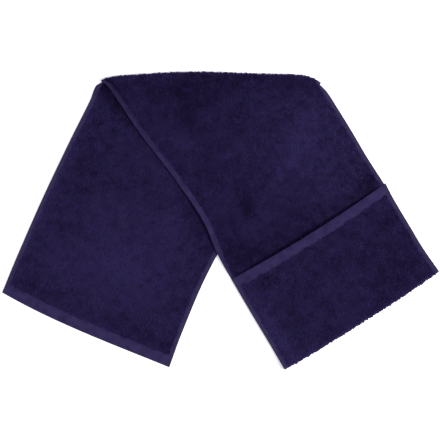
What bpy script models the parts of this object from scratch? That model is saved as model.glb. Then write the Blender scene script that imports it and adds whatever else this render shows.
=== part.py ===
"""A sports towel: one strip of terry cloth lying folded, with a pocket at one end.

The strip starts at its end hem, lower left. It runs up to a soft fold along the top,
comes down over itself as the front layer, and turns up at the bottom right into a
pocket that is sewn along both side hems. It is one piece of cloth, so one solid.

Metres, +Z up. The towel lies on the plane z = 0, with +X along its longest reach and
its origin under the middle of its outline.
"""

import math
from bisect import bisect_right
from collections import namedtuple

import bmesh
import bpy
from mathutils import Vector

MM = 0.001

# The cloth
WIDTH = 300 * MM  # across the strip, from one side hem's edge to the other
PILE = 3.0 * MM  # thickness of the looped cloth
BAND = 2.1 * MM  # thickness of a hem, which is woven flat
END_HEM = 16.5 * MM  # width of the hem at each end of the strip
SIDE_HEM = 8.5 * MM  # width of the hem along each side
HEM_STEP = 2.5 * MM  # width over which a hem rises to the pile

# How the layers lie on each other
GAP = 0.6 * MM  # air between two layers
FOLD_EASE = 2.2 * MM  # how much further a soft fold holds them apart
EASE_RUN = 32 * MM  # how far from the fold that fades out
HOLD = 14 * MM  # how far the front layer stays level past the edge it lies over
DESCENT = 28 * MM  # how far it then takes to come down to the surface
MOUTH_GAPE = 7.5 * MM  # how far the pocket's mouth stands open at its middle
GAPE_RUN = 0.6  # share of the pocket's depth over which it opens that far

UPPER_LAYER = PILE + GAP  # height of the underside of a layer that lies on another

# Fineness of the mesh
ROW_PITCH = 17 * MM
COLUMN_PITCH = 18 * MM
FOLD_STEPS = 6
POCKET_ROWS = 9

# Cross-sections of the strip, in millimetres, each from the strip's left side to its
# right. `bow` is how far the middle stands off the straight line between the two, and
# `lean` moves that bow towards the left side.
Section = namedtuple("Section", "name left right bow lean", defaults=(0,))
MOUTH_LINE = "under the pocket's mouth"

BACK_LAYER = (
    Section("end hem", (-359, -118), (-84.3, -241), -5.2, 0.5),
    Section("above the hem", (-336.4, -62.8), (-63.5, -184.3), -4, 0.4),
    Section("middle of the leg", (-294.2, 33.4), (-21, -86), -2),
    Section("under the front layer", (-248.2, 130.4), (60, 62), 0),
    Section("behind the front layer", (-214.5, 198), (126, 176), 0),
    Section("in the top corner", (-205.2, 221), (148, 210), 0),
)
FRONT_LAYER = (
    Section("just below the top fold", (-186, 221.5), (174.5, 211.5), 13),
    Section("below the top fold", (-135.5, 147.6), (194, 182), 0),
    Section("half way down", (-73.5, 65.6), (218.5, 142), 0),
    Section("where the edge bends", (-29, -0.5), (239.2, 106.7), 0),
    Section("leaving the back layer", (-4.6, -56.5), (254.4, 82.8), 0),
    Section(MOUTH_LINE, (18.5, -97.8), (269, 59.9), 0),
    Section("inside the pocket", (58.6, -164.3), (311, -12.6), 0),
)
POCKET = (
    Section("above the bottom fold", (81.2, -204.1), (332.8, -45.5), 0),
    Section("middle of the pocket", (57.6, -164.7), (311.8, -10.7), 0),
    Section("under the mouth hem", (31.9, -121.1), (283, 37.7), -3.5),
    Section("mouth", (17.2, -95.9), (270.6, 61.9), -5),
)

# The outermost line of each fold, in millimetres, from left to right
TOP_CREST = (
    (-196.5, 231.3),
    (-183, 235.3),
    (-165, 238.2),
    (-99, 242.5),
    (-40, 244.7),
    (60, 241.5),
    (138, 238.5),
    (156.5, 232),
    (165, 226.6),
)
BOTTOM_CREST = ((105, -245.1), (148, -220.5), (230, -169.5), (296, -127.5), (359, -83.7))

# Low swellings in the cloth: middle, heading in degrees, half sizes and height in mm
Swelling = namedtuple("Swelling", "layer x y heading half_length half_width height")

SWELLINGS = (
    Swelling("back", -222, -5, 66, 120, 45, 1.3),
    Swelling("back", -150, -120, 70, 75, 38, 1.5),
    Swelling("back", -292, -72, 62, 58, 30, 1.0),
    Swelling("front", -52, 108, -52, 110, 34, 1.6),
    Swelling("front", 128, 118, -62, 100, 55, 2.0),
    Swelling("front", 62, -2, -36, 85, 32, 1.3),
)

NAVY = (0.0150, 0.0103, 0.0434, 1.0)


def clamp(x):
    return max(0.0, min(1.0, x))


def ease(x):
    """0 to 1 as x goes from 0 to 1, level at both ends."""
    x = clamp(x)
    return x * x * (3 - 2 * x)


def perpendicular(v):
    return Vector((-v.y, v.x)).normalized()


def distances(points):
    """How far along a row of points each one lies."""
    along = [0.0]
    for a, b in zip(points, points[1:]):
        along.append(along[-1] + (b - a).length)
    return along


def through(points, along, where):
    """The point at distance `where` on a smooth curve through points at distances `along`."""
    last = len(points) - 1

    def slope(i):
        a, b = max(0, i - 1), min(last, i + 1)
        return (points[b] - points[a]) / (along[b] - along[a])

    i = min(last - 1, bisect_right(along, where) - 1)
    run = along[i + 1] - along[i]
    u = (where - along[i]) / run
    return (
        points[i] * (2 * u**3 - 3 * u**2 + 1)
        + slope(i) * run * (u**3 - 2 * u**2 + u)
        + points[i + 1] * (3 * u**2 - 2 * u**3)
        + slope(i + 1) * run * (u**3 - u**2)
    )


def column_places():
    """Fractions of the width where the mesh has a column: the hems' edges, then evenly between."""
    side = [0.0, SIDE_HEM / WIDTH, (SIDE_HEM + HEM_STEP) / WIDTH]
    first, final = side[-1], 1 - side[-1]
    count = round((final - first) * WIDTH / COLUMN_PITCH)
    middle = [first + (final - first) * i / count for i in range(1, count)]
    return side + middle + [1 - t for t in reversed(side)]


COLUMNS = column_places()


def section_line(section):
    """A section's points, one for each column."""
    left, right = Vector(section.left) * MM, Vector(section.right) * MM
    off = perpendicular(right - left) * section.bow * MM
    return [left.lerp(right, t) + off * 4 * t * (1 - t) * (1 + section.lean * (1 - 2 * t)) for t in COLUMNS]


def crest_line(crest):
    """A fold's crest, one point for each column."""
    points = [Vector(p) * MM for p in crest]
    along = distances(points)
    return [through(points, along, t * along[-1]) for t in COLUMNS]


def cloth_thickness(t, from_end):
    """The cloth is thin in its side hems and within a hem's width of its ends."""
    from_side = min(t, 1 - t) * WIDTH
    rise = min((from_side - SIDE_HEM) / HEM_STEP, (from_end - END_HEM) / HEM_STEP)
    return BAND + (PILE - BAND) * clamp(rise)


def swelling(layer, x, y):
    """How far a layer is lifted at a place by its swellings."""
    lift = 0.0
    for s in SWELLINGS:
        if s.layer != layer:
            continue
        turn = math.radians(s.heading)
        dx, dy = x / MM - s.x, y / MM - s.y
        along = (dx * math.cos(turn) + dy * math.sin(turn)) / s.half_length
        across = (dy * math.cos(turn) - dx * math.sin(turn)) / s.half_width
        lift += s.height * MM * max(0.0, 1 - along**2 - across**2) ** 2
    return lift


class Fold:
    """A half turn of the cloth round a line in plan, from z = 0 over to the layer above.

    `side` is +1 where the crest runs with its outside on its left, and -1 where its
    outside is on its right.
    """

    def __init__(self, crest, side):
        line = crest_line(crest)
        self.inner = []
        self.outer = []
        self.axis = []
        self.outward = []
        for c, t in enumerate(COLUMNS):
            thick = cloth_thickness(t, math.inf)
            before, after = line[max(0, c - 1)], line[min(len(line) - 1, c + 1)]
            outward = perpendicular(after - before) * side
            inner = (UPPER_LAYER + FOLD_EASE - thick) / 2
            self.inner.append(inner)
            self.outer.append(inner + thick)
            self.outward.append(outward)
            self.axis.append(line[c] - outward * (inner + thick))

    def rows(self):
        """Rows between the lower and the upper layer, each a list of (inner, outer) points."""
        rows = []
        for step in range(1, FOLD_STEPS):
            turn = math.pi * step / FOLD_STEPS
            row = []
            for c, axis in enumerate(self.axis):
                middle = Vector((axis.x, axis.y, self.outer[c]))
                out = self.outward[c]
                arm = Vector((out.x * math.sin(turn), out.y * math.sin(turn), -math.cos(turn)))
                row.append((middle + arm * self.inner[c], middle + arm * self.outer[c]))
            rows.append(row)
        return rows


class Layer:
    """A stretch of cloth that lies flat, on smooth curves through its sections."""

    def __init__(self, lines):
        self.lines = lines
        self.along = [0.0]
        for a, b in zip(lines, lines[1:]):
            step = ((b[0] - a[0]).length + (b[-1] - a[-1]).length) / 2
            self.along.append(self.along[-1] + step)
        self.length = self.along[-1]

    def row(self, where):
        return [
            through([line[c] for line in self.lines], self.along, where)
            for c in range(len(COLUMNS))
        ]


def evenly(start, end):
    """Distances from start to end, about a row's pitch apart, without start."""
    count = max(1, round((end - start) / ROW_PITCH))
    return [start + (end - start) * (i + 1) / count for i in range(count)]


def distance_past(edge, p):
    """How far p lies to the right of a line of points, or a negative distance on its left."""
    best, sign = math.inf, 1
    for a, b in zip(edge, edge[1:]):
        run = b - a
        nearest = a + run * clamp((p - a).dot(run) / run.length_squared)
        if (p - nearest).length < best:
            best = (p - nearest).length
            sign = -1 if run.cross(p - a) > 0 else 1
    return best * sign


def near_fold(distance):
    """How far a soft fold lifts the upper layer at a distance from it."""
    return FOLD_EASE * ease(1 - distance / EASE_RUN)


def sheet_row(plan, undersides, from_end):
    """A row of (under, upper) points: its place in plan, with the cloth's thickness above."""
    row = []
    for t, p, low in zip(COLUMNS, plan, undersides):
        high = low + cloth_thickness(t, from_end)
        row.append((Vector((p.x, p.y, low)), Vector((p.x, p.y, high))))
    return row


def turned(rows):
    """The same rows with the two sides of the cloth changed over."""
    return [[(b, a) for a, b in row] for row in rows]


def back_rows(layer):
    """The back layer, on the surface, from the end hem up to the top fold."""
    stations = [0.0, END_HEM, END_HEM + HEM_STEP]
    stations += evenly(stations[-1], layer.length)
    rows = []
    for where in stations:
        plan = layer.row(where)
        rows.append(sheet_row(plan, [swelling("back", p.x, p.y) for p in plan], where))
    return rows


def front_rows(layer, stations, back_edge):
    """The front layer: over the back layer, then down past its edge to the surface."""
    rows = []
    for where in stations:
        plan = layer.row(where)
        undersides = []
        for p in plan:
            covered = ease(1 - (distance_past(back_edge, p) - HOLD) / DESCENT)
            lift = near_fold(where) + swelling("front", p.x, p.y)
            undersides.append(UPPER_LAYER * covered + lift)
        rows.append(sheet_row(plan, undersides, math.inf))
    return rows


def pocket_rows(layer, shares):
    """The pocket, arched off the front layer more and more towards its mouth."""
    rows = []
    for share in shares:
        where = layer.length * share
        undersides = []
        for t in COLUMNS:
            across = clamp((t * WIDTH - SIDE_HEM) / (WIDTH - 2 * SIDE_HEM))
            arch = 4 * across * (1 - across)
            gape = MOUTH_GAPE * arch * ease(share / GAPE_RUN)
            undersides.append(UPPER_LAYER + near_fold(where) + gape)
        rows.append(sheet_row(layer.row(where), undersides, layer.length - where))
    return rows


def towel_rows():
    """The strip from its end hem to the pocket's mouth, and the row that the mouth lies over.

    Each row is a list of (face, reverse) points, one pair for each column. The face is
    up on the back layer and on the pocket, and the reverse is up on the front layer.
    """
    top, bottom = Fold(TOP_CREST, 1), Fold(BOTTOM_CREST, -1)
    back = Layer([section_line(s) for s in BACK_LAYER] + [top.axis])
    front = Layer([top.axis] + [section_line(s) for s in FRONT_LAYER] + [bottom.axis])
    pocket = Layer([bottom.axis] + [section_line(s) for s in POCKET])

    mouth_line = [s.name for s in FRONT_LAYER].index(MOUTH_LINE) + 1
    to_mouth = [0.0] + evenly(0.0, front.along[mouth_line])
    shares = [i / POCKET_ROWS for i in range(POCKET_ROWS + 1)]
    under_pocket = front.length - front.along[mouth_line]
    stations = to_mouth + [to_mouth[-1] + under_pocket * share for share in shares[1:]]

    lower = back_rows(back)
    back_edge = [row[-1][0].xy for row in lower]
    rows = turned(lower) + top.rows()
    mouth_row = len(rows) + len(to_mouth) - 1
    rows += front_rows(front, stations, back_edge)
    rows += turned(bottom.rows()) + turned(pocket_rows(pocket, shares))
    return rows, mouth_row


def sew_pocket(bm, reverse, mouth_row):
    """Closes the space between the front layer and the pocket along both side hems."""
    last = len(reverse) - 1
    end = len(COLUMNS) - 1
    for edge, inner in ((0, 1), (end, end - 1)):
        for column in (edge, inner):
            for k in range(POCKET_ROWS):
                f, p = mouth_row + k, last - k
                bm.faces.new(
                    (reverse[f][column], reverse[f + 1][column],
                     reverse[p - 1][column], reverse[p][column])
                )
            turn = range(mouth_row + POCKET_ROWS, last - POCKET_ROWS + 1)
            bm.faces.new([reverse[r][column] for r in turn])
        bm.faces.new(
            (reverse[mouth_row][edge], reverse[mouth_row][inner],
             reverse[last][inner], reverse[last][edge])
        )


def build_towel():
    """Makes the closed mesh: both faces of the strip, its rims, and the pocket's side seams."""
    rows, mouth_row = towel_rows()
    bm = bmesh.new()
    face = [[bm.verts.new(pair[0]) for pair in row] for row in rows]
    reverse = [[bm.verts.new(pair[1]) for pair in row] for row in rows]
    last, end = len(rows) - 1, len(COLUMNS) - 1
    for r in range(last):
        for c in range(end):
            bm.faces.new((face[r][c], face[r][c + 1], face[r + 1][c + 1], face[r + 1][c]))
            if r < mouth_row or 0 < c < end - 1:
                bm.faces.new(
                    (reverse[r][c], reverse[r][c + 1], reverse[r + 1][c + 1], reverse[r + 1][c])
                )
        for c in (0, end):
            bm.faces.new((face[r][c], face[r + 1][c], reverse[r + 1][c], reverse[r][c]))
    for r in (0, last):
        for c in range(end):
            bm.faces.new((face[r][c], face[r][c + 1], reverse[r][c + 1], reverse[r][c]))
    sew_pocket(bm, reverse, mouth_row)
    bmesh.ops.recalc_face_normals(bm, faces=bm.faces)
    mesh = bpy.data.meshes.new("towel")
    bm.to_mesh(mesh)
    bm.free()
    mesh.shade_smooth()
    mesh.set_sharp_from_angle(angle=math.radians(50))
    towel = bpy.data.objects.new("towel", mesh)
    bpy.context.collection.objects.link(towel)
    return towel


def terry_material():
    material = bpy.data.materials.new("navy terry")
    material.use_nodes = True
    shader = material.node_tree.nodes["Principled BSDF"]
    shader.inputs["Base Color"].default_value = NAVY
    shader.inputs["Roughness"].default_value = 0.95
    shader.inputs["Metallic"].default_value = 0.0
    return material


for old in list(bpy.data.objects):
    bpy.data.objects.remove(old, do_unlink=True)
build_towel().data.materials.append(terry_material())
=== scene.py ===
# %% [markdown]
# # A sports towel, folded and lying flat
#
# The towel is one long strip of navy terry, 30 cm wide and 110 cm long. It lies in two
# legs: the strip runs up from its end hem, folds over on a slant along the top, comes
# down over itself, and turns up at the bottom into a flat pocket. Terry is a plain woven
# ground with thousands of small yarn loops standing on it, so the towel is made in the
# same two steps: first the ground cloth with its folds, then the loops.
#
# The first cell loads the plain solid that the physics uses. Everything made here lies
# in the same place and at the same size, in metres, and takes that solid's place.

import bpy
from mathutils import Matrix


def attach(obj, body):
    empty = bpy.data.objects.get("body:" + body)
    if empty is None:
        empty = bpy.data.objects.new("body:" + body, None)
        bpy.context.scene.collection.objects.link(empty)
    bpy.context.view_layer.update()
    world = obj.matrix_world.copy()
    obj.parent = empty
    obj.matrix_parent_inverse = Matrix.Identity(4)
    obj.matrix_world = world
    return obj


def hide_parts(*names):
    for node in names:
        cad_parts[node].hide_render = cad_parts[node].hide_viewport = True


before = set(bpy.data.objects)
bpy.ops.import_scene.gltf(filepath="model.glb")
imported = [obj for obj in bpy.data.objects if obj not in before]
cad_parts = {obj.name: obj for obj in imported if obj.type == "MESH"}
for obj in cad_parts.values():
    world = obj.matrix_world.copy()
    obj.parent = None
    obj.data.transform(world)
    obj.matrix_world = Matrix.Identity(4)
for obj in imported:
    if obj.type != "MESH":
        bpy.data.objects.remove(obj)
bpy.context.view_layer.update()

# %% [markdown]
# ## Camera
#
# The towel is looked at from straight above, as it lies on a table. A long lens far away
# keeps the view nearly parallel, so the higher layers do not look larger than the lower
# ones. The lens follows from the width that the picture takes in.

# %% Camera
import bpy

MM = 0.001
SEEN_WIDTH = 723.4 * MM  # how much of the table the picture takes in
CAMERA_HEIGHT = 3.0
LOOKED_AT = (-1.1 * MM, 1.1 * MM)  # the picture's middle, a hair off the towel's own

camera = bpy.data.objects.new("camera", bpy.data.cameras.new("camera"))
bpy.context.collection.objects.link(camera)
camera.location = (*LOOKED_AT, CAMERA_HEIGHT)
camera.data.lens = camera.data.sensor_width * CAMERA_HEIGHT / SEEN_WIDTH
bpy.context.scene.camera = camera
print("lens:", round(camera.data.lens, 1), "mm")

# %% [markdown]
# ## Lights
#
# Terry is dark and rough, so it shows its folds only by soft shadow. An even sky, a little
# blue, fills everything, and one large lamp on the right, a little warm, casts a soft
# shadow to the left of each edge. The view transform is Standard, which keeps the white
# table white.

# %% Lights
import math

from mathutils import Vector

SKY_COLOUR = (0.86, 0.83, 1.0, 1.0)
SKY_STRENGTH = 0.73
LAMP_PLACE = (1.6, -0.25, 1.6)  # to the right of the towel, and as high as it is far
LAMP_SIDE = 0.8
LAMP_POWER = 57
LAMP_COLOUR = (1.0, 0.985, 0.94)

world = bpy.data.worlds.new("studio")
bpy.context.scene.world = world
world.use_nodes = True
sky = world.node_tree.nodes["Background"]
sky.inputs["Color"].default_value = SKY_COLOUR
sky.inputs["Strength"].default_value = SKY_STRENGTH


def softbox(name, place, side, power, colour):
    """A square lamp at `place` that shines on the middle of the table."""
    lamp = bpy.data.lights.new(name, "AREA")
    lamp.shape = "SQUARE"
    lamp.size = side
    lamp.energy = power
    lamp.color = colour
    holder = bpy.data.objects.new(name, lamp)
    bpy.context.collection.objects.link(holder)
    holder.location = place
    holder.rotation_euler = (-Vector(place)).to_track_quat("-Z", "Y").to_euler()
    return holder


key = softbox("key_softbox", LAMP_PLACE, LAMP_SIDE, LAMP_POWER, LAMP_COLOUR)
bpy.context.scene.view_settings.view_transform = "Standard"
print("lamps:", key.name)

# %% [markdown]
# ## Nodes as sums
#
# Materials are nets of nodes. Written out link by link they are hard to read, so this
# small class wraps one socket and lets Python's own signs add the Math nodes: with it
# `1 - hem` is a Subtract node. Every other kind of node comes from `node`, which takes
# its settings first and then a value or a link for each of its sockets.

# %% A socket that can be used in sums
class Wire:
    """One output socket in a node tree."""

    def __init__(self, tree, socket=None):
        self.tree = tree
        self.socket = socket

    def node(self, kind, settings=None, sockets=None, output=0):
        made = self.tree.nodes.new(kind)
        for name, value in (settings or {}).items():
            setattr(made, name, value)
        for name, value in (sockets or {}).items():
            if isinstance(value, Wire):
                self.tree.links.new(value.socket, made.inputs[name])
            else:
                made.inputs[name].default_value = value
        return Wire(self.tree, made.outputs[output] if len(made.outputs) else None)

    def maths(self, operation, *values):
        return self.node("ShaderNodeMath", {"operation": operation}, dict(enumerate(values)))

    def __add__(self, other):
        return self.maths("ADD", self, other)

    def __sub__(self, other):
        return self.maths("SUBTRACT", self, other)

    def __rsub__(self, other):
        return self.maths("SUBTRACT", other, self)

    def __mul__(self, other):
        return self.maths("MULTIPLY", self, other)

    __radd__ = __add__
    __rmul__ = __mul__

    def wave(self, pitch):
        """A sine of this value, from -1 to 1, that repeats after `pitch`."""
        return self.maths("SINE", self * (2 * math.pi / pitch))

    def clamped(self):
        return self.node(
            "ShaderNodeMath", {"operation": "ADD", "use_clamp": True}, {0: self, 1: 0.0}
        )

    def mix(self, low, high):
        """A colour between two others, by this value."""
        return self.node(
            "ShaderNodeMix",
            {"data_type": "RGBA", "clamp_factor": True},
            {"Factor": self, 6: low, 7: high},
            output=2,
        )


print("signs:", "+ - *")

# %% [markdown]
# ## The table
#
# A wide pale sheet that is not part of the towel. It lies a hair below the cloth, so that
# the two never flicker into each other. It glows a little, like a light table, which
# keeps the shadows on it faint.

# %% Table
import bmesh

TABLE_SIDE = 8.0
TABLE_DROP = 0.2 * MM
TABLE_COLOUR = (0.94, 0.94, 0.94, 1.0)
TABLE_GLOW = 0.35


def finished(name, bm, material, smooth=True):
    """Makes an object of a bmesh, with its place in its mesh."""
    mesh = bpy.data.meshes.new(name)
    bm.to_mesh(mesh)
    bm.free()
    if smooth:
        mesh.shade_smooth()
    mesh.materials.append(material)
    made = bpy.data.objects.new(name, mesh)
    bpy.context.collection.objects.link(made)
    return made


def plain_material(name, colour, roughness):
    material = bpy.data.materials.new(name)
    material.use_nodes = True
    shader = material.node_tree.nodes["Principled BSDF"]
    shader.inputs["Base Color"].default_value = colour
    shader.inputs["Roughness"].default_value = roughness
    return material, shader


white, shader = plain_material("pale table", TABLE_COLOUR, 0.8)
shader.inputs["Emission Color"].default_value = (1.0, 1.0, 1.0, 1.0)
shader.inputs["Emission Strength"].default_value = TABLE_GLOW
bm = bmesh.new()
bmesh.ops.create_grid(bm, x_segments=1, y_segments=1, size=TABLE_SIDE / 2)
bmesh.ops.translate(bm, verts=bm.verts, vec=(0, 0, -TABLE_DROP))
finished("table", bm, white, smooth=False)
print("table:", TABLE_SIDE, "m wide")

# %% [markdown]
# ## Where the strip lies
#
# A folded strip is easiest to describe by a few lines across it, from its left side to
# its right, at the places where its course changes. Smooth curves through these lines
# give every other place. The two folds are given by their outermost line, the crest.
# These are the same lines that the plain solid was made from, in millimetres. `bow` is
# how far the middle of a line stands off the straight course between its ends, and `lean`
# moves that bow towards the left side.

# %% Lines across the strip, and the crests of its folds
from collections import namedtuple

Section = namedtuple("Section", "name left right bow lean", defaults=(0,))

BACK_LAYER = (
    Section("end hem", (-359, -118), (-84.3, -241), -5.2, 0.5),
    Section("above the hem", (-336.4, -62.8), (-63.5, -184.3), -4, 0.4),
    Section("middle of the leg", (-294.2, 33.4), (-21, -86), -2),
    Section("under the front layer", (-248.2, 130.4), (60, 62), 0),
    Section("behind the front layer", (-214.5, 198), (126, 176), 0),
    Section("in the top corner", (-205.2, 221), (148, 210), 0),
)
FRONT_LAYER = (
    Section("just below the top fold", (-186, 221.5), (174.5, 211.5), 13),
    Section("below the top fold", (-135.5, 147.6), (194, 182), 0),
    Section("half way down", (-73.5, 65.6), (218.5, 142), 0),
    Section("where the edge bends", (-29, -0.5), (239.2, 106.7), 0),
    Section("leaving the back layer", (-4.6, -56.5), (254.4, 82.8), 0),
    Section("under the pocket's mouth", (18.5, -97.8), (269, 59.9), 0),
    Section("inside the pocket", (58.6, -164.3), (311, -12.6), 0),
)
MOUTH_LINE = 6  # the line of the front layer that the pocket's mouth lies over
POCKET = (
    Section("above the bottom fold", (81.2, -204.1), (332.8, -45.5), 0),
    Section("middle of the pocket", (57.6, -164.7), (311.8, -10.7), 0),
    Section("under the mouth hem", (31.9, -121.1), (283, 37.7), -3.5),
    Section("mouth", (17.2, -95.9), (270.6, 61.9), -5),
)
TOP_CREST = (
    (-196.5, 231.3),
    (-183, 235.3),
    (-165, 238.2),
    (-99, 242.5),
    (-40, 244.7),
    (60, 241.5),
    (138, 238.5),
    (156.5, 232),
    (165, 226.6),
)
BOTTOM_CREST = ((105, -245.1), (148, -220.5), (230, -169.5), (296, -127.5), (359, -83.7))
print("lines:", len(BACK_LAYER) + len(FRONT_LAYER) + len(POCKET), "and 2 crests")

# %% [markdown]
# ## The cloth's own sizes
#
# The loops make up the upper part of the cloth's thickness. Below them is the woven
# ground, as thick as a hem, which has no loops. So the ground is one even sheet all over,
# and it is only the loops that stop at the hems.

# %% Sizes of the cloth
WIDTH = 300 * MM  # across the strip
PILE = 3.0 * MM  # thickness with the loops
GROUND = 2.1 * MM  # thickness of the woven ground and of the hems
END_HEM = 16.5 * MM
SIDE_HEM = 8.5 * MM
HEM_STEP = 2.5 * MM  # how far past a hem the cloth takes to reach its full thickness
GAP = 0.6 * MM  # air between two layers
FOLD_EASE = 2.2 * MM  # how much further a soft fold holds them apart
EASE_RUN = 32 * MM  # how far from the fold it does so
HOLD = 14 * MM  # how far the front layer stays level past the edge it lies over
DESCENT = 28 * MM  # how far it then takes to come down to the table
MOUTH_GAPE = 7.5 * MM  # how far the middle of the pocket's mouth stands up
GAPE_RUN = 0.6  # the share of the pocket's length in which it rises to that
UPPER_LAYER = PILE + GAP  # how far one layer lies above the next
SEAM_RISE = 14 * MM  # how far from a side seam the pocket takes to come free

CELL = 3.6 * MM  # size of a cell of the ground's mesh
EDGE_COLUMNS = (0.0, 0.5 * MM, 1.6 * MM, 4.0 * MM, 6.5 * MM, SIDE_HEM, SIDE_HEM + HEM_STEP)


def clamp(x):
    return max(0.0, min(1.0, x))


def ease(x):
    """0 to 1 as x goes from 0 to 1, level at both ends."""
    x = clamp(x)
    return x * x * (3 - 2 * x)


def column_places():
    """Fractions of the width where the mesh has a column: close together at the edges."""
    start = EDGE_COLUMNS[-1]
    middle = WIDTH - 2 * start
    count = round(middle / CELL)
    inner = [start + middle * i / count for i in range(1, count)]
    places = [*EDGE_COLUMNS, *inner, *(WIDTH - d for d in reversed(EDGE_COLUMNS))]
    return [place / WIDTH for place in places]


COLUMNS = column_places()
print("columns across the strip:", len(COLUMNS))

# %% [markdown]
# ## Swellings and creases
#
# Cloth that has been folded by hand never lies flat. Each line here is one low, soft
# hump: where it is, which way it runs, how long, wide and high it is. Long narrow ones
# read as creases, broad ones as places where the cloth has not settled.

# %% Humps in the cloth
Hump = namedtuple("Hump", "layer x y heading half_length half_width height")

HUMPS = (
    Hump("back", -222, -5, 66, 120, 45, 1.3),
    Hump("back", -150, -120, 70, 75, 38, 1.5),
    Hump("back", -292, -72, 62, 58, 30, 1.0),
    Hump("back", -196, 0, 88, 34, 9, 0.7),
    Hump("back", -166, 6, 92, 40, 8, 0.8),
    Hump("back", -130, 14, 86, 36, 10, 0.7),
    Hump("back", -262, -66, 84, 34, 11, 0.7),
    Hump("back", -228, 58, 80, 40, 12, 0.6),
    Hump("back", -112, -110, 78, 46, 13, 0.8),
    Hump("front", -52, 108, -52, 110, 34, 1.6),
    Hump("front", 128, 118, -62, 100, 55, 2.0),
    Hump("front", 62, -2, -36, 85, 32, 1.3),
    Hump("front", 34, 166, 70, 46, 15, 0.8),
    Hump("front", 10, 70, 64, 52, 14, 1.0),
    Hump("front", 92, 76, 50, 60, 15, 0.9),
    Hump("front", 176, 150, 58, 44, 16, 0.8),
    Hump("front", 46, 52, 118, 40, 12, 0.7),
    Hump("front", -34, 2, -64, 74, 26, 3.2),
    Hump("pocket", 150, -120, 32, 60, 26, 0.8),
    Hump("pocket", 236, -60, 70, 44, 18, 0.7),
    Hump("pocket", 96, -152, 100, 34, 14, 0.6),
)


def away(mark, p):
    """How far p is from a mark's middle, squared: 1 at the end of its length and width."""
    turn = math.radians(mark.heading)
    dx, dy = p.x / MM - mark.x, p.y / MM - mark.y
    along = (dx * math.cos(turn) + dy * math.sin(turn)) / mark.half_length
    across = (dy * math.cos(turn) - dx * math.sin(turn)) / mark.half_width
    return along**2 + across**2


def hump(layer, p):
    """How far a layer is lifted at a place by its humps."""
    lift = 0.0
    for h in HUMPS:
        if h.layer == layer:
            lift += h.height * MM * max(0.0, 1 - away(h, p)) ** 2
    return lift


print("humps:", len(HUMPS))

# %% [markdown]
# ## Smooth curves through the lines
#
# `through` finds a place on a curve that passes through given points, and `line_across`
# turns one section into a row of points, one for each column of the mesh.

# %% Curves
from bisect import bisect_right


def perpendicular(v):
    return Vector((-v.y, v.x)).normalized()


def distances(points):
    along = [0.0]
    for a, b in zip(points, points[1:]):
        along.append(along[-1] + (b - a).length)
    return along


def through(points, along, where):
    """The point at distance `where` on a smooth curve through points at distances `along`."""
    last = len(points) - 1

    def slope(i):
        a, b = max(0, i - 1), min(last, i + 1)
        return (points[b] - points[a]) / (along[b] - along[a])

    i = min(last - 1, bisect_right(along, where) - 1)
    run = along[i + 1] - along[i]
    u = (where - along[i]) / run
    return (
        points[i] * (2 * u**3 - 3 * u**2 + 1)
        + slope(i) * run * (u**3 - 2 * u**2 + u)
        + points[i + 1] * (3 * u**2 - 2 * u**3)
        + slope(i + 1) * run * (u**3 - u**2)
    )


def line_across(section):
    left, right = Vector(section.left) * MM, Vector(section.right) * MM
    off = perpendicular(right - left) * section.bow * MM
    bows = [4 * t * (1 - t) * (1 + section.lean * (1 - 2 * t)) for t in COLUMNS]
    return [left.lerp(right, t) + off * bow for t, bow in zip(COLUMNS, bows)]


def crest_line(crest):
    points = [Vector(p) * MM for p in crest]
    along = distances(points)
    return [through(points, along, t * along[-1]) for t in COLUMNS]


print("middle of the top crest:", [round(x, 3) for x in crest_line(TOP_CREST)[len(COLUMNS) // 2]])

# %% [markdown]
# ## Folds
#
# A fold of thick cloth is a half tube. Each column of the mesh goes round its own half
# circle, whose middle lies a little inside the crest, from the table up to the height of
# the layer above. All rows made here follow the middle of the ground's thickness, which
# a Solidify modifier later turns into a cloth with two sides.

# %% A half turn of the cloth
FOLD_STEPS = 9


def pile_share(t):
    """0 in a side hem, 1 where the loops have their full height."""
    from_side = min(t, 1 - t) * WIDTH
    return clamp((from_side - SIDE_HEM) / HEM_STEP)


class Fold:
    """`side` is +1 where the crest's outside is on its left, -1 where it is on its right."""

    def __init__(self, crest, side):
        line = crest_line(crest)
        self.axis, self.outward, self.radius, self.height = [], [], [], []
        for c, t in enumerate(COLUMNS):
            thick = GROUND + (PILE - GROUND) * pile_share(t)
            outward = perpendicular(line[min(len(line) - 1, c + 1)] - line[max(0, c - 1)]) * side
            inner = (UPPER_LAYER + FOLD_EASE - thick) / 2
            self.axis.append(line[c] - outward * (inner + thick))
            self.outward.append(outward)
            self.radius.append(inner + GROUND / 2)
            self.height.append(inner + thick)

    def rows(self):
        rows = []
        for step in range(1, FOLD_STEPS):
            turn = math.pi * step / FOLD_STEPS
            out, up = math.sin(turn), -math.cos(turn)
            rows.append([
                Vector((a.x + o.x * out * r, a.y + o.y * out * r, h + up * r))
                for a, o, r, h in zip(self.axis, self.outward, self.radius, self.height)
            ])
        return rows


top, bottom = Fold(TOP_CREST, 1), Fold(BOTTOM_CREST, -1)
print("radius of the top fold:", round(max(top.radius) / MM, 2), "mm")

# %% [markdown]
# ## Layers
#
# Between the folds the cloth lies in layers. Each is a stretch of the strip with a plan,
# which says where it lies, and a height: the back layer lies on the table, the front
# layer on the back layer until it passes its edge and comes down, and the pocket on the
# front layer, pressed to it at the side seams and gaping towards the mouth.

# %% A stretch of cloth in plan
class Layer:
    def __init__(self, lines):
        self.lines = lines
        self.along = [0.0]
        for a, b in zip(lines, lines[1:]):
            step = ((b[0] - a[0]).length + (b[-1] - a[-1]).length) / 2
            self.along.append(self.along[-1] + step)
        self.length = self.along[-1]

    def row(self, where):
        return [
            through([line[c] for line in self.lines], self.along, where)
            for c in range(len(COLUMNS))
        ]


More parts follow.
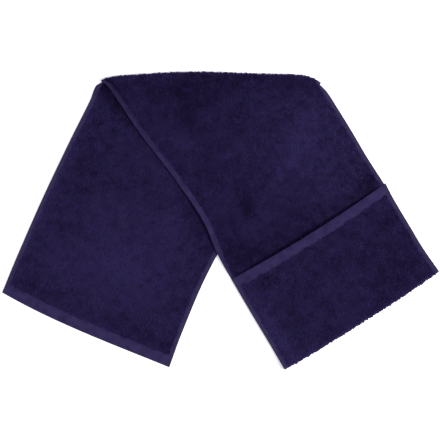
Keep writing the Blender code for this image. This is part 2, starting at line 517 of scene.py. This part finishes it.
back = Layer([line_across(s) for s in BACK_LAYER] + [top.axis])
front = Layer([top.axis] + [line_across(s) for s in FRONT_LAYER] + [bottom.axis])
pocket = Layer([bottom.axis] + [line_across(s) for s in POCKET])
mouth_at = front.along[MOUTH_LINE]
print("layers:", [round(layer.length, 3) for layer in (back, front, pocket)], "m long")

# %% [markdown]
# ## Heights
#
# A plan becomes cloth once every place in it has a height. Each layer has a function that
# adds up what holds it up there: the layer below, a soft fold near by, a hump, the gape
# of the pocket. Rows of points at those heights then follow one another along the strip,
# close together at the hems and a cell apart elsewhere.

# %% Heights of the three layers
HEM_ROWS = (0.0, 0.5 * MM, 1.6 * MM, 5.0 * MM, 9.0 * MM, 13.0 * MM, END_HEM, END_HEM + HEM_STEP)
TUCK = 25 * MM  # how far before a fold the ground starts to lift for it


def evenly(start, end):
    """Distances from start to end, a cell apart, without start."""
    count = max(1, round((end - start) / CELL))
    return [start + (end - start) * (i + 1) / count for i in range(count)]


def distance_past(edge, p):
    """How far p lies to the right of a line of points, or a negative distance on its left."""
    best, sign = math.inf, 1
    for a, b in zip(edge, edge[1:]):
        run = b - a
        nearest = a + run * clamp((p - a).dot(run) / run.length_squared)
        if (p - nearest).length < best:
            best = (p - nearest).length
            sign = -1 if run.cross(p - a) > 0 else 1
    return best * sign


def near_fold(distance):
    """How far a soft fold lifts the upper layer at a distance from it."""
    return FOLD_EASE * ease(1 - distance / EASE_RUN)


def tucked(t, left):
    """How far the ground is lifted just before a fold, so that it meets the fold's tube."""
    return (PILE - GROUND) * pile_share(t) * ease(1 - left / TUCK)


def back_height(t, where, p):
    return hump("back", p) + tucked(t, back.length - where)


def front_height(t, where, p):
    covered = ease(1 - (distance_past(back_edge, p) - HOLD) / DESCENT)
    lift = near_fold(where) + hump("front", p)
    return UPPER_LAYER * covered + lift + tucked(t, front.length - where)


def pocket_height(t, where, p):
    across = clamp((t * WIDTH - SIDE_HEM) / (WIDTH - 2 * SIDE_HEM))
    gape = MOUTH_GAPE * 4 * across * (1 - across) * ease(where / pocket.length / GAPE_RUN)
    from_seam = min(t, 1 - t) * WIDTH - SIDE_HEM
    pressed = (UPPER_LAYER - GROUND) * ease(1 - from_seam / SEAM_RISE) * ease(where / EASE_RUN)
    rest = UPPER_LAYER + near_fold(where) - pressed
    free = ease(from_seam / SEAM_RISE)
    return rest + gape + hump("pocket", p) * free


def laid(layer, stations, height):
    """Rows of a layer at these distances along it, at the middle of the ground's thickness."""
    rows = []
    for where in stations:
        plan = layer.row(where)
        rows.append([
            Vector((p.x, p.y, height(t, where, p) + GROUND / 2)) for t, p in zip(COLUMNS, plan)
        ])
    return rows


back_rows = laid(back, list(HEM_ROWS) + evenly(HEM_ROWS[-1], back.length), back_height)
back_edge = [row[-1].xy for row in back_rows[::6]]
front_rows = laid(front, [0.0] + evenly(0.0, front.length), front_height)
mouth_rows = [pocket.length - d for d in reversed(HEM_ROWS)]
pocket_rows = laid(pocket, [0.0] + evenly(0.0, mouth_rows[0])[:-1] + mouth_rows, pocket_height)
print("rows:", len(back_rows), len(front_rows), len(pocket_rows))

# %% [markdown]
# ## The whole strip as one grid
#
# The rows of all stretches, one after another, are the strip. `Strip` holds them with
# the distance of each from the end hem, so that anything can be asked for by how far
# along and how far across it is: a place on the cloth, and which way its face looks.

# %% The strip
Stretch = namedtuple("Stretch", "name first last side")


class Strip:
    def __init__(self, parts):
        self.rows, self.stretches = [], {}
        for name, rows, side in parts:
            first = len(self.rows)
            self.rows += rows
            self.stretches[name] = Stretch(name, first, len(self.rows) - 1, side)
        middle = len(COLUMNS) // 2
        self.along = distances([row[middle] for row in self.rows])

    def cell(self, values, where):
        i = min(len(values) - 2, max(0, bisect_right(values, where) - 1))
        return i, (where - values[i]) / (values[i + 1] - values[i])

    def at(self, where, t):
        """The middle of the ground there, the way the face looks, and the way along."""
        r, u = self.cell(self.along, where)
        c, v = self.cell(COLUMNS, t)
        a, b = self.rows[r][c], self.rows[r][c + 1]
        d, e = self.rows[r + 1][c], self.rows[r + 1][c + 1]
        place = a.lerp(b, v).lerp(d.lerp(e, v), u)
        along = (d.lerp(e, v) - a.lerp(b, v)).normalized()
        across = b.lerp(e, u) - a.lerp(d, u)
        return place, across.cross(along).normalized(), along


strip = Strip((
    ("back", back_rows, 1),
    ("top fold", top.rows(), -1),
    ("front", front_rows, -1),
    ("bottom fold", bottom.rows(), 1),
    ("pocket", pocket_rows, 1),
))
print("strip:", len(strip.rows), "rows,", round(strip.along[-1], 3), "m along its middle")

# %% [markdown]
# ## Light and dark places
#
# These soft patches make the cloth lighter or darker in places: positive is lighter,
# negative darker, in the same way as the humps. On the pile they stand for the way its
# loops were last brushed. Those marked in the table are painted shadow beside raised
# edges and along the pocket's mouth, and painted light over the leg. The value is kept
# on the mesh as an attribute that the material reads.

# %% Brushed patches, painted shadow and painted light
Patch = namedtuple("Patch", "layer x y heading half_length half_width tone")

PATCHES = (
    # painted light: the whole leg made lighter, for more light falling on it
    Patch("back", -200, -50, 62, 230, 150, 0.50),
    Patch("back", -215, 90, 64, 60, 30, -0.20),
    Patch("back", -168, 4, 0, 56, 38, 0.15),
    Patch("back", -170, -80, -10, 110, 46, 0.50),
    Patch("back", -156, -69, 85, 48, 28, 0.25),
    Patch("back", -267, -69, 80, 38, 16, 0.30),
    Patch("back", -120, -150, -20, 60, 18, 0.25),
    # these two are painted shadow: a dark wedge on the leg beside the front layer's raised left
    # edge, by the top fold
    Patch("back", -170, 194, -55, 46, 13, -1.10),
    Patch("back", -196, 220, 30, 18, 11, -1.00),
    Patch("back", -290, 42, 65, 260, 18, 0.95),
    Patch("back", -155, 53, 0, 22, 16, -0.35),
    Patch("back", -82, -8, 20, 30, 22, 0.45),
    Patch("back", -88, -60, 60, 46, 26, 0.20),
    # painted shadow: a soft dark band on the leg to the left of the front layer's edge
    Patch("back", -48, 2, -63, 64, 13, -0.50),
    Patch("back", -294, -110, -26, 50, 14, -0.40),
    Patch("back", -140, -184, -26, 60, 13, -0.40),
    Patch("back", -252, -16, 20, 20, 13, -0.30),
    Patch("back", -184, 58, 0, 24, 12, -0.30),
    Patch("back", -128, 64, -62, 60, 12, -0.25),
    Patch("front", -70, 224, 3, 110, 26, -0.35),
    Patch("front", -84, 238, 3, 34, 7, 0.55),
    Patch("front", -50, 206, 0, 60, 30, -0.50),
    Patch("front", 90, 227, -4, 90, 16, -0.50),
    Patch("front", 166, 198, -50, 26, 14, -0.35),
    Patch("front", -57, 165, 60, 24, 16, -0.60),
    Patch("front", -22, 84, 80, 34, 18, -0.35),
    Patch("front", -128, 146, -56, 110, 7, -0.40),
    Patch("front", -164, 195, -56, 58, 6, -1.40),
    Patch("front", -30, -4, -63, 84, 16, -0.50),
    Patch("front", 41, 25, 110, 26, 13, -0.60),
    Patch("front", 46, 20, 40, 32, 14, -0.30),
    Patch("front", 123, 13, 0, 18, 14, -0.40),
    Patch("front", 20, -50, -58, 44, 24, -0.50),
    Patch("front", 29, 50, 0, 24, 24, -0.25),
    Patch("front", 131, 124, 55, 82, 30, 0.35),
    Patch("front", 146, 130, -60, 120, 50, 0.45),
    Patch("front", 207, 143, -60, 24, 12, 0.30),
    Patch("front", 97, 94, 0, 20, 15, 0.25),
    Patch("front", 41, 115, 0, 20, 15, 0.20),
    Patch("front", -66, 132, -50, 28, 15, 0.30),
    Patch("front", 246, 74, 30, 28, 18, -0.45),
    Patch("front", 244, 48, 32, 40, 26, -0.45),
    # these two are painted shadow: a dark band on the front layer along the pocket's raised mouth
    Patch("front", 130, -16, 32, 110, 15, -0.35),
    Patch("front", 80, -34, 30, 90, 28, -0.20),
    Patch("front", 6, -78, -61, 28, 10, -0.20),
    Patch("front", 50, -52, -20, 34, 16, -0.40),
    Patch("front", 33, 151, 0, 17, 12, -0.30),
    Patch("pocket", 210, -80, 32, 130, 60, -0.25),
    Patch("pocket", 288, -80, 32, 56, 60, -0.50),
    Patch("pocket", 278, 6, 50, 26, 14, -0.60),
    Patch("pocket", 84, -178, -57, 90, 16, 0.95),
    Patch("pocket", 150, -23, 32, 160, 9, -0.60),
    Patch("pocket", 232, -167, 32.5, 170, 7, 0.35),
    Patch("pocket", 240, -150, 32, 40, 18, -0.25),
    Patch("pocket", 28, -108, -57, 20, 10, 1.00),
    Patch("pocket", 62, -116, 32, 18, 12, -0.30),
    Patch("pocket", 290, -50, 60, 20, 14, 0.20),
    Patch("pocket", 82, -131, 0, 26, 24, 0.20),
    Patch("pocket", 128, -146, 0, 16, 15, -0.25),
    Patch("pocket", 125, -177, 30, 20, 12, -0.25),
    Patch("pocket", 205, -90, 32, 50, 22, 0.15),
)
PATCH_FALL = 1.2  # how fast a patch fades
LAYER_OF = {"top fold": "front", "bottom fold": "pocket"}  # folds take theirs from these


def brushed_and_painted_tone(stretch, p):
    """The tone of a stretch of the strip at a place: brushed pile, painted shade and painted
    light.
    """
    layer = LAYER_OF.get(stretch.name, stretch.name)
    tone = 0.0
    for patch in PATCHES:
        if patch.layer == layer:
            tone += patch.tone * math.exp(-PATCH_FALL * away(patch, p))
    return tone


print("patches:", len(PATCHES))

# %% [markdown]
# ## The ground cloth
#
# One flat grid becomes the whole strip: each of its points is moved to the place that
# its row and column have on the strip. The grid then carries what the material needs,
# a UV map in metres along and across the cloth, the tone, and where the hems are.

# %% Grid moved onto the strip
LOOPLESS = {  # how wide the bare edge is at the left and at the right
    "back": (8.0 * MM, 7.3 * MM),
    "top fold": (4.5 * MM, 7.3 * MM),
    "front": (4.5 * MM, 7.3 * MM),
    "bottom fold": (7.8 * MM, 7.3 * MM),
    "pocket": (7.8 * MM, 7.3 * MM),
}
END_BARE = {"back": END_HEM + 2.0 * MM, "pocket": END_HEM}
FRONT_BARE = (  # and at the front's left, by the distance from the top fold, in millimetres
    (0, 4.5),
    (25, 8.0),
    (90, 9.2),
    (160, 9.6),
    (262, 9.2),
    (290, 6.0),
)
RIM = 7.0 * MM  # how far in from an edge the cloth looks worn, with a painted highlight
KEPT = 0.3  # how worn and lit the front's left edge is painted, next to the others: it lies on the leg
HEM_BLUR = 1.0 * MM  # how softly the woven hem goes over into the ground under the loops
ROUNDED = 1.5 * MM  # how far in from an edge the cloth thins to a rounded rim
RIM_THICKNESS = 0.45  # the share of its thickness that is left there


def stretch_of(row):
    """The stretch that a row of the strip belongs to."""
    for stretch in strip.stretches.values():
        if row <= stretch.last:
            return stretch
    return stretch


def between(points, x):
    """The value at x on straight lines through points (x, value), level past both ends."""
    for (x0, low), (x1, high) in zip(points, points[1:]):
        if x < x1:
            return low + (high - low) * clamp((x - x0) / (x1 - x0))
    return points[-1][1]


def bare(stretch, where, t):
    """How far a place lies inside a hem that has no loops, in metres. Negative outside it."""
    left, right = LOOPLESS[stretch.name]
    if stretch.name == "front":
        left = between(FRONT_BARE, (where - strip.along[stretch.first]) / MM) * MM
    in_side = max(left - t * WIDTH, right - (1 - t) * WIDTH)
    in_end = END_BARE.get(stretch.name, 0) - min(where, strip.along[-1] - where)
    return max(in_side, in_end)


def edge_thickness(where, t):
    """The share of the ground's thickness: full inside, less at the rounded rims."""
    from_rim = min(t * WIDTH, (1 - t) * WIDTH, where, strip.along[-1] - where)
    return RIM_THICKNESS + (1 - RIM_THICKNESS) * math.sqrt(clamp(from_rim / ROUNDED))


def ground_cloth():
    """The strip as a bmesh, with its UV map and what the finish and Solidify read."""
    last_row, last_column = len(strip.rows) - 1, len(COLUMNS) - 1
    bm = bmesh.new()
    bmesh.ops.create_grid(bm, x_segments=last_column, y_segments=last_row, size=1)
    uv = bm.loops.layers.uv.new("cloth")
    tone = bm.verts.layers.float.new("tone")
    hem = bm.verts.layers.float.new("hem")
    rim = bm.verts.layers.float.new("rim")
    weights = bm.verts.layers.deform.new()
    for v in bm.verts:
        c = round((v.co.x + 1) / 2 * last_column)
        r = round((v.co.y + 1) / 2 * last_row)
        where, t, stretch = strip.along[r], COLUMNS[c], stretch_of(r)
        for loop in v.link_loops:
            loop[uv].uv = (t * WIDTH, where)
        v.co = strip.rows[r][c]
        v[tone] = brushed_and_painted_tone(stretch, v.co)
        v[hem] = clamp(0.5 + bare(stretch, where, t) / HEM_BLUR)
        worn_and_lit = KEPT if stretch.name == "front" and t < 0.5 else 1.0
        # worn rims, with a painted highlight along them
        v[rim] = worn_and_lit * (1 - ease(min(t, 1 - t) * WIDTH / RIM))
        v[weights][0] = edge_thickness(where, t)
    return bm


bm = ground_cloth()
print("ground:", len(bm.verts), "points,", len(bm.faces), "cells")

# %% [markdown]
# ## Finish of the ground and hems
#
# Where there are no loops the cotton is woven flat, catches more light and shows its
# threads: fine ribs along the strip, crossed by finer ones. Under the loops the ground
# is the same navy painted darker, as painted shade for the little light that gets down
# to it, and knobbly with the feet of the loops. Ribs and knobs are a bump, far too fine
# for the mesh. Along its rims the towel is worn and a little greyer, with a painted
# highlight where the rounded rim would catch the light.

# %% Woven finish
DEEP_NAVY = (0.0047, 0.0022, 0.0180, 1.0)
NAVY = (0.0290, 0.0196, 0.0835, 1.0)
BLUER_NAVY = (0.0262, 0.0204, 0.0850, 1.0)
REDDER_NAVY = (0.0322, 0.0190, 0.0820, 1.0)
HEM_NAVY = (0.0300, 0.0225, 0.0715, 1.0)
HEM_SHADE = (0.0140, 0.0096, 0.0400, 1.0)
# the rims' colour: worn and greyer, with a painted highlight where the rounded rim would catch
# the light
WORN_AND_LIT_RIM_GREY = (0.0300, 0.0250, 0.0500, 1.0)
RIB, PICK = 1.1 * MM, 0.8 * MM  # from rib to rib, and from cross thread to cross thread
CLOUD = 40 * MM  # size of the broad light and dark places in the ground
MOTTLE = 12 * MM  # size of those in the hems
KNOB = 1.6 * MM  # size of the knobs where the loops come out of the ground


def cloth_shader(name):
    """A matt cotton with a soft sheen at grazing angles."""
    material, shader = plain_material(name, NAVY, 0.95)
    shader.inputs["Specular IOR Level"].default_value = 0.02
    shader.inputs["Sheen Weight"].default_value = 0.05
    shader.inputs["Sheen Roughness"].default_value = 0.6
    shader.inputs["Sheen Tint"].default_value = (0.55, 0.50, 0.85, 1.0)
    return material, shader, Wire(material.node_tree)


def link(wire, shader, socket):
    """Feeds a value or a colour into a socket of a finish."""
    wire.tree.links.new(wire.socket, shader.inputs[socket])


def attribute(w, name):
    """What the piece's mesh carries under that name."""
    return w.node("ShaderNodeAttribute", {"attribute_name": name}, output="Fac")


def spots(w, size, detail=2.0):
    """Soft noise from 0 to 1 on the piece's own place, with spots about `size` across."""
    place = w.node("ShaderNodeTexCoord", output="Object")
    return w.node(
        "ShaderNodeTexNoise", None, {"Vector": place, "Scale": 1 / size, "Detail": detail}
    )


woven, shader, w = cloth_shader("woven navy")
hem = attribute(w, "hem")
tone = attribute(w, "tone") + (spots(w, CLOUD) - 0.5) * 0.8
# painted shade: the ground under the loops is made darker than the loops, for the little light
# that reaches it
pile_colour = (tone * 0.35 + 0.3).clamped().mix(DEEP_NAVY, NAVY)
mottle = ((spots(w, MOTTLE, 4.0) - 0.5) * 2.0 + attribute(w, "tone") * 0.35 + 0.6).clamped()
# worn rims, greyer, with a painted highlight
hem_colour = (attribute(w, "rim") * 0.8).mix(mottle.mix(HEM_SHADE, HEM_NAVY), WORN_AND_LIT_RIM_GREY)
link(hem.mix(pile_colour, hem_colour), shader, "Base Color")

thread = w.node("ShaderNodeUVMap", {"uv_map": "cloth"})
across = thread.node("ShaderNodeSeparateXYZ", None, {0: thread}, output="X")
along = thread.node("ShaderNodeSeparateXYZ", None, {0: thread}, output="Y")
ribs = across.wave(RIB) * 0.06 + along.wave(PICK) * 0.04
height = ribs * hem + spots(w, KNOB) * (1 - hem)
bump = w.node(
    "ShaderNodeBump", None, {"Height": height, "Strength": 0.6, "Distance": 1.2 * MM}
)
link(bump, shader, "Normal")
print("finish:", woven.name)

# %% [markdown]
# ## Thickness
#
# So far the ground is a surface without thickness. Solidify gives it two sides and closes
# its edges. It works outwards from the middle to both sides, and a vertex group makes it
# thinner at the rims, so that they look turned over and not cut.

# %% Ground with two sides
cloth = finished("towel_ground", bm, woven)
cloth.vertex_groups.new(name="thick")
solidify = cloth.modifiers.new("both sides", "SOLIDIFY")
solidify.thickness = GROUND
solidify.offset = 0.0
solidify.use_even_offset = True
solidify.vertex_group = "thick"
print("ground cloth is", round(GROUND / MM, 1), "mm thick")

# %% [markdown]
# ## One loop of yarn
#
# A terry loop is a little arch of soft yarn. Spinning a small ring through half a turn
# makes the arch, and stretching it upwards gives its height. It is repeated tens of
# thousands of times, so it has as few faces as will still catch the light.

# %% Loop
LOOP_RADIUS = 0.95 * MM
YARN_RADIUS = 0.72 * MM
YARN_SIDES, ARCH_STEPS = 3, 3
LOOP_STRETCH = 1.2  # how much taller than a half circle the arch is
LOOP_HEIGHT = (LOOP_RADIUS + YARN_RADIUS) * LOOP_STRETCH


def yarn_loop():
    bm = bmesh.new()
    ring = bmesh.ops.create_circle(
        bm, segments=YARN_SIDES, radius=YARN_RADIUS, cap_ends=True
    )["verts"]
    bmesh.ops.translate(bm, verts=ring, vec=(LOOP_RADIUS, 0, 0))
    bmesh.ops.spin(
        bm, geom=bm.faces[:], cent=(0, 0, 0), axis=(0, -1, 0), angle=math.pi, steps=ARCH_STEPS
    )
    bmesh.ops.scale(bm, vec=(1, 1, LOOP_STRETCH), verts=bm.verts)
    bmesh.ops.recalc_face_normals(bm, faces=bm.faces)
    return bm


bm = yarn_loop()
print("loop:", len(bm.verts), "points,", len(bm.calc_loop_triangles()), "triangles")

# %% [markdown]
# ## Finish of the loops
#
# The same cotton, with its tone from the patches, painted shade and painted light among
# them, a little more from loop to loop, and a painted highlight on the loops round the
# folds. All come with each loop as an attribute.

# %% Looped finish
FINE_FLECKS, BROAD_FLECKS = 3 * MM, 9 * MM  # sizes of lighter and darker groups of loops
HUES = 26 * MM  # size of the places where the navy is a little bluer or redder

looped, shader, w = cloth_shader("looped navy")
tone = attribute(w, "tone")
flecks = spots(w, FINE_FLECKS) * 0.5 + spots(w, BROAD_FLECKS) * 0.5
shade = (tone * 0.5 + (flecks - 0.5) * 0.9 + 0.46).clamped()
navy = ((spots(w, HUES) - 0.5) * 3.0 + 0.5).clamped().mix(BLUER_NAVY, REDDER_NAVY)
link(shade.mix(DEEP_NAVY, navy), shader, "Base Color")
link(1 - shade * 0.1, shader, "Roughness")
loop_model = finished("loop", bm, looped)
print("finish:", looped.name)

# %% [markdown]
# ## Scattering
#
# Geometry Nodes copies one model to every point of a mesh, turned and sized by what each
# point carries, and Realize Instances makes the copies into one plain mesh. That is fast
# even for tens of thousands of loops, and the points can be worked out in ordinary code.

# %% Copies of one model on many points
Spot = namedtuple("Spot", "place turn size tone")


def copies(model):
    """A node tree that puts the model on each point of the mesh it works on."""
    tree = bpy.data.node_groups.new("copies of " + model.name, "GeometryNodeTree")
    tree.interface.new_socket("Geometry", in_out="INPUT", socket_type="NodeSocketGeometry")
    tree.interface.new_socket("Geometry", in_out="OUTPUT", socket_type="NodeSocketGeometry")
    w = Wire(tree)
    vector = {"data_type": "FLOAT_VECTOR"}
    turn = w.node("GeometryNodeInputNamedAttribute", vector, {"Name": "turn"})
    size = w.node("GeometryNodeInputNamedAttribute", vector, {"Name": "size"})
    placed = w.node(
        "GeometryNodeInstanceOnPoints",
        None,
        {
            "Points": w.node("NodeGroupInput"),
            "Instance": w.node("GeometryNodeObjectInfo", None, {"Object": model}, "Geometry"),
            "Rotation": w.node("FunctionNodeEulerToRotation", None, {"Euler": turn}),
            "Scale": size,
        },
    )
    joined = w.node("GeometryNodeRealizeInstances", None, {"Geometry": placed})
    w.node("NodeGroupOutput", None, {"Geometry": joined})
    return tree


def scattered(name, stands, model, tree):
    """One mesh with a copy of the model on each spot where one stands."""
    bm = bmesh.new()
    turn = bm.verts.layers.float_vector.new("turn")
    size = bm.verts.layers.float_vector.new("size")
    tone = bm.verts.layers.float.new("tone")
    for spot in stands:
        v = bm.verts.new(spot.place)
        v[turn], v[size], v[tone] = spot.turn, spot.size, spot.tone
    holder = finished(name + "_points", bm, model.data.materials[0], smooth=False)
    holder.modifiers.new("copies", "NODES").node_group = tree
    seen = holder.evaluated_get(bpy.context.evaluated_depsgraph_get())
    mesh = bpy.data.meshes.new_from_object(seen)
    bpy.data.objects.remove(holder)
    mesh.name = name
    for spare in ("turn", "size"):
        mesh.attributes.remove(mesh.attributes[spare])
    mesh.shade_smooth()
    mesh.materials.clear()
    mesh.materials.append(model.data.materials[0])
    made = bpy.data.objects.new(name, mesh)
    bpy.context.collection.objects.link(made)
    mesh.calc_loop_triangles()
    print(name + ":", len(stands), "copies,", len(mesh.loop_triangles), "triangles")
    return made


loop_copies = copies(loop_model)

# %% [markdown]
# ## Where the loops stand
#
# Loops are woven in rows. After a few washes they lean every way, in small tufts that
# lean together, and no two are quite alike. So the places come from a grid with every
# other row moved by half a step, each a little out of place, and the lean from smooth
# noise with a little chance added. Loops are left out on the hems, and where another
# layer hides them.

# %% Places for the loops
import random

from mathutils import Quaternion, noise

LOOP_PITCH = 2.4 * MM
LOOP_SUNK = 0.35 * MM  # how far a loop's feet are in the ground
TUFT = 9 * MM  # how far apart neighbouring tufts lean differently
SWAY, JOLT = 0.6, 0.6  # how far a tuft leans, and how far each loop does by chance
PILE_SIZES = 0.85, 1.15  # the smallest and largest loops, as a share of the model's size
FOLD_SIZES = 0.9, 1.6  # on a fold the ground is stretched, and its loops stand out
UNEVEN, UNEVEN_RUN = 0.35, 5 * MM  # how far their heights differ, and over what distance
LEAST_TALL = 0.15  # the share of its height that a loop keeps where it has no room
FLECK = 0.2  # how far single loops differ in tone
CLUMPS = 14 * MM, 6 * MM  # sizes of the clumps that catch the light together
FOLD_TONE = 1.2  # painted highlight: loops round a fold are made lighter, as if they catch more light
RAGGED, STRAY = 2.4, 1.3  # how far tufts, and single loops, pass a hem's line, in millimetres
UNDERLAP = 12 * MM  # how far loops go on under an edge that lies over them
INTO_POCKET = 45 * MM
front_edge = [row[0].xy for row in front_rows[::6]]
chance = random.Random(11)
noise.seed_set(11)  # without this, noise_vector starts from the clock


def hidden(name, where, place):
    """Whether another layer lies over a place, far from its edge."""
    if name == "back":
        return distance_past(front_edge, place.xy) < -UNDERLAP
    if name == "front":
        return where - strip.along[strip.stretches["front"].first] > mouth_at + INTO_POCKET
    return False


def loop_spot(stretch, where, t):
    """How one loop stands, or None where another layer hides it."""
    place, face, _ = strip.at(where, t)
    if hidden(stretch.name, where, place):
        return None
    out = face * stretch.side
    sway = noise.noise_vector(place / TUFT) * SWAY
    jolt = Vector([chance.uniform(-JOLT, JOLT) for _ in range(3)])
    lean = (out + sway + jolt).normalized()
    turn = lean.to_track_quat("Z", "Y") @ Quaternion((0, 0, 1), chance.uniform(0, math.pi))
    on_fold = stretch.name in LAYER_OF
    grown = chance.uniform(*(FOLD_SIZES if on_fold else PILE_SIZES))
    tall = grown * (1 + UNEVEN * noise.noise(place / UNEVEN_RUN))
    tone = brushed_and_painted_tone(stretch, place) + chance.gauss(0, FLECK)
    tone += sum(noise.noise(place / clump) for clump in CLUMPS)
    # painted highlight on the loops round a fold
    tone += FOLD_TONE * on_fold
    base = place + out * (GROUND / 2 - LOOP_SUNK)
    room = base.z / max(1e-6, -out.z) if out.z < 0 else math.inf  # down to the table
    tall = max(LEAST_TALL, min(tall, room / LOOP_HEIGHT))
    return Spot(base, turn.to_euler(), (grown, grown, tall), tone)


def loop_spots(stretch):
    """The loops of one stretch of the strip, row by row."""
    start = strip.along[max(0, stretch.first - 1)]
    end = strip.along[stretch.last]
    found = []
    rows = round((end - start) / LOOP_PITCH)
    columns = round(WIDTH / LOOP_PITCH)
    for i in range(rows):
        for j in range(columns):
            where = start + (i + 0.5 + chance.uniform(-0.35, 0.35)) / rows * (end - start)
            t = (j + 0.25 + 0.5 * (i % 2) + chance.uniform(-0.3, 0.3)) / columns
            tuft = noise.noise(Vector((where, t * WIDTH, 0)) / TUFT) * RAGGED
            reach = (tuft + chance.uniform(-STRAY, STRAY)) * MM
            if not 0 < t < 1 or bare(stretch, where, t) > reach:
                continue
            spot = loop_spot(stretch, where, t)
            if spot:
                found.append(spot)
    return found


pile = {}
for stretch in strip.stretches.values():
    pile[stretch.name] = loop_spots(stretch)
print("loops:", {name: len(found) for name, found in pile.items()})

# %% [markdown]
# ## The pile in five pieces
#
# One mesh with all the loops would be too heavy to handle, so the pile is divided along
# the strip. The pieces meet between two rows of loops, where no seam can be seen.

# %% Loops in pieces
def halves(found):
    middle = len(found) // 2
    return found[:middle], found[middle:]


lower, upper = halves(pile["back"])
first, second = halves(pile["top fold"] + pile["front"])
loop_pieces = [
    scattered("loops_leg_lower", lower, loop_model, loop_copies),
    scattered("loops_leg_upper", upper, loop_model, loop_copies),
    scattered("loops_front_upper", first, loop_model, loop_copies),
    scattered("loops_front_lower", second, loop_model, loop_copies),
    scattered("loops_pocket", pile["bottom fold"] + pile["pocket"], loop_model, loop_copies),
]
bpy.data.objects.remove(loop_model)

# %% [markdown]
# ## Stitching
#
# The hems are turned over twice and held by a straight line of stitches, and two more
# lines close the pocket's sides. Each stitch is a short bead of thread, pressed into the
# cloth a little, with a small space before the next.

# %% Stitches
STITCH = 2.6 * MM  # how long a stitch is
STITCH_PITCH = 3.3 * MM
THREAD = 0.28 * MM  # half its thickness
HEM_LINE = END_HEM - 2.2 * MM  # from the cloth's end to the stitches across it
SEAM_LINE = 4.2 * MM  # from a side to the stitches that close the pocket
FRONT_LINE = 6.8 * MM  # from the front's left side to the stitches along it
SIDE_SPACE = 0.015  # the share of the width without stitches, at each end of a hem's line
MOUTH_SPACE = 4 * MM  # how far before the mouth the front's line ends

thread_finish, shader, w = cloth_shader("navy thread")
twist = spots(w, 1 * MM)
link(twist.mix(HEM_SHADE, HEM_NAVY), shader, "Base Color")

bm = bmesh.new()
bmesh.ops.create_uvsphere(bm, u_segments=6, v_segments=4, radius=1)
bmesh.ops.rotate(
    bm, verts=bm.verts, cent=(0, 0, 0), matrix=Quaternion((1, 0, 0), math.pi / 2).to_matrix()
)
bmesh.ops.scale(bm, vec=(THREAD, STITCH / 2, THREAD), verts=bm.verts)
stitch_model = finished("stitch", bm, thread_finish)


def stitch(stretch_name, where, t, crosswise):
    """A stitch on the side of the cloth that shows, along the strip or across it."""
    place, face, along = strip.at(where, t)
    out = face * strip.stretches[stretch_name].side
    ahead = along.cross(out) if crosswise else along
    turn = out.to_track_quat("Z", "Y")
    turn = (turn @ Vector((0, 1, 0))).rotation_difference(ahead) @ turn
    return Spot(place + out * GROUND / 2, turn.to_euler(), (1, 1, 1), 0.0)


def stitches():
    """All lines of stitches: across both end hems, along the pocket's sides and the front's."""
    found = []
    total = strip.along[-1]
    sewn = 1 - 2 * SIDE_SPACE
    across = round(WIDTH * sewn / STITCH_PITCH)
    for i in range(across):
        t = SIDE_SPACE + sewn * (i + 0.5) / across
        found.append(stitch("back", HEM_LINE, t, True))
        found.append(stitch("pocket", total - HEM_LINE, t, True))
    start = strip.along[strip.stretches["pocket"].first]
    for i in range(int((total - start) / STITCH_PITCH)):
        where = start + (i + 0.5) * STITCH_PITCH
        for t in (SEAM_LINE / WIDTH, 1 - SEAM_LINE / WIDTH):
            found.append(stitch("pocket", where, t, False))
    start = strip.along[strip.stretches["front"].first]
    for i in range(int((mouth_at - MOUTH_SPACE) / STITCH_PITCH)):
        where = start + (i + 0.5) * STITCH_PITCH
        found.append(stitch("front", where, FRONT_LINE / WIDTH, False))
    return found


stitching = scattered("stitching", stitches(), stitch_model, copies(stitch_model))
bpy.data.objects.remove(stitch_model)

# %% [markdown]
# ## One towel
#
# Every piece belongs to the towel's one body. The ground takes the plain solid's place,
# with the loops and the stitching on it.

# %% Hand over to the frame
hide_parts("towel")
for piece in (cloth, stitching, *loop_pieces):
    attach(piece, "root")
print("handed over:", cloth.name, stitching.name, *[piece.name for piece in loop_pieces])
